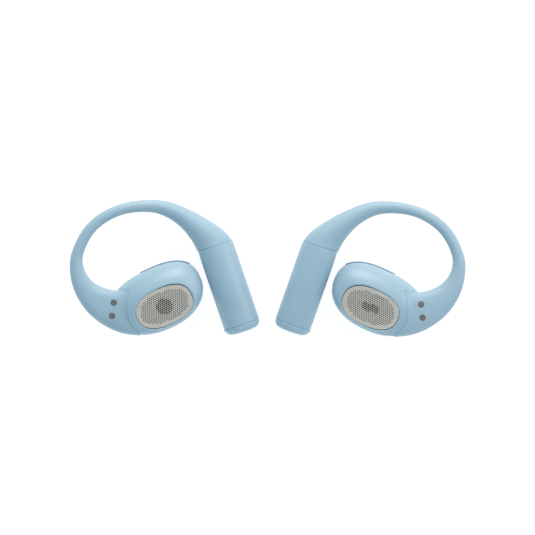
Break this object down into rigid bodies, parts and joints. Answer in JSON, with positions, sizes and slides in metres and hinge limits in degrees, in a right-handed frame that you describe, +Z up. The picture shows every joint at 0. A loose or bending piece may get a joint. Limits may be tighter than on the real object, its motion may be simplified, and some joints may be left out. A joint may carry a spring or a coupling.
{
  "type": "ear hook earphones",
  "caption": "Pair of wireless open-ear earphones: each a speaker pod with an oval grille and a push key, on a silicone ear hook that ends in a round battery stem.",
  "frame": {"origin": "on the surface the pair lies on, midway between the two earpieces and at the middle of their height", "axes": "+Z up out of the surface, with the ear sides showing; +Y to the top of the ear as worn; +X to the left-ear earpiece"},
  "size_m": [0.1066, 0.0368, 0.013],
  "materials": {
    "shell": "smooth satin light blue",
    "silicone": "soft matte light blue silicone",
    "key": "satin, a darker blue than the shell",
    "grille": "warm light grey, fine perforation",
    "cloth": "fine black acoustic cloth",
    "foam": "dark foam",
    "frame_plastic": "black moulded plastic",
    "film": "thin stiff film",
    "copper": "copper",
    "magnet": "nickel-plated magnet",
    "steel": "plain steel",
    "board": "green circuit board",
    "chip": "black chip package",
    "contact": "brownish grey plated metal",
    "cable": "insulated wires",
    "cell": "blue shrink wrap"
  },
  "bodies": {
    "left_stem": {"left_stem_housing": "shell", "left_stem_cap": "shell", "left_battery_cell": "cell", "left_battery_board": "board", "left_hook_shoulder": "silicone"},
    "left_pod": {"left_outer_shell": "shell", "left_inner_shell": "shell", "left_hook_base": "silicone", "left_hook_flex": "silicone", "left_speaker_grille": "grille", "left_acoustic_mesh": "cloth", "left_speaker_gasket": "foam", "left_speaker_basket": "frame_plastic", "left_speaker_diaphragm": "film", "left_voice_coil": "copper", "left_speaker_magnet": "magnet", "left_speaker_yoke": "steel", "left_main_board": "board", "left_main_chip": "chip", "left_microphone": "steel", "left_antenna": "copper", "left_key_switch": "steel", "left_charging_contact_upper": "contact", "left_charging_contact_lower": "contact", "left_contact_board": "board", "left_case_magnet": "magnet", "left_memory_wire": "steel", "left_hook_cable": "cable"},
    "left_key": {"left_control_key": "key"},
    "right_stem": {"right_stem_housing": "shell", "right_stem_cap": "shell", "right_battery_cell": "cell", "right_battery_board": "board", "right_hook_shoulder": "silicone"},
    "right_pod": {"right_outer_shell": "shell", "right_inner_shell": "shell", "right_hook_base": "silicone", "right_hook_flex": "silicone", "right_speaker_grille": "grille", "right_acoustic_mesh": "cloth", "right_speaker_gasket": "foam", "right_speaker_basket": "frame_plastic", "right_speaker_diaphragm": "film", "right_voice_coil": "copper", "right_speaker_magnet": "magnet", "right_speaker_yoke": "steel", "right_main_board": "board", "right_main_chip": "chip", "right_microphone": "steel", "right_antenna": "copper", "right_key_switch": "steel", "right_charging_contact_upper": "contact", "right_charging_contact_lower": "contact", "right_contact_board": "board", "right_case_magnet": "magnet", "right_memory_wire": "steel", "right_hook_cable": "cable"},
    "right_key": {"right_control_key": "key"}
  },
  "joints": [
    {"name": "left_hook_flex", "type": "hinge", "parent": "left_stem", "child": "left_pod", "pos_m": [0.0435, 0.014, 0.0096], "axis": [0, 0, 1], "range_deg": [-1, 20], "stiffness_Nm_per_rad": 0.11, "deforming": ["left_hook_flex", "left_memory_wire", "left_hook_cable"]},
    {"name": "left_key_press", "type": "slide", "parent": "left_pod", "child": "left_key", "axis": [-0.1392, -0.9903, 0], "range_m": [0, 0.0003], "stiffness_N_per_m": 600, "springref_m": -0.001},
    {"name": "right_hook_flex", "type": "hinge", "parent": "right_stem", "child": "right_pod", "pos_m": [-0.0435, 0.014, 0.0096], "axis": [0, 0, -1], "range_deg": [-1, 20], "stiffness_Nm_per_rad": 0.11, "deforming": ["right_hook_flex", "right_memory_wire", "right_hook_cable"]},
    {"name": "right_key_press", "type": "slide", "parent": "right_pod", "child": "right_key", "axis": [0.1392, -0.9903, 0], "range_m": [0, 0.0003], "stiffness_N_per_m": 600, "springref_m": -0.001},
    {"name": "right_earpiece_lift", "type": "slide", "parent": "left_stem", "child": "right_stem", "axis": [0, 0, 1], "range_m": [0, 0.06]}
  ]
}
